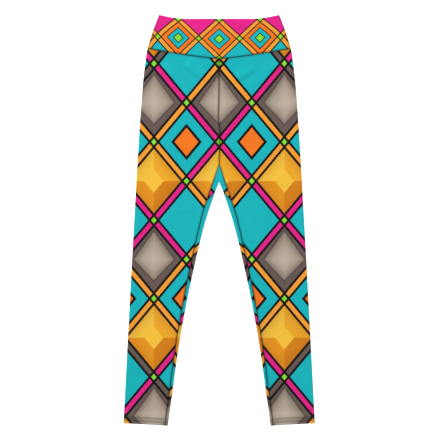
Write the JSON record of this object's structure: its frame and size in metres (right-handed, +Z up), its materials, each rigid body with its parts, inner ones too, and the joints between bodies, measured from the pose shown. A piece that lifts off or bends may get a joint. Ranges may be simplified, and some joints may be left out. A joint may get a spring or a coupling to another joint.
{
  "type": "leggings",
  "caption": "Full-length printed leggings with a high wide waistband and a diamond gusset, laid out flat with the front up.",
  "frame": {"origin": "under the middle of the flat garment, on the surface that it lies on", "axes": "+Z up from the surface, +Y from the hems to the waist, +X to the wearer's left"},
  "size_m": [0.44, 0.944, 0.0052],
  "materials": {
    "leg_cloth": "smooth printed stretch jersey with a slight sheen",
    "gusset_cloth": "smooth stretch jersey with a slight sheen",
    "band_cloth": "smooth printed stretch jersey, doubled",
    "sewing_thread": "dark spun polyester thread in the seams and hems"
  },
  "bodies": {
    "root": {"leg_left": "leg_cloth", "leg_right": "leg_cloth", "gusset": "gusset_cloth", "waistband_front": "band_cloth", "waistband_back": "band_cloth"}
  },
  "joints": []
}
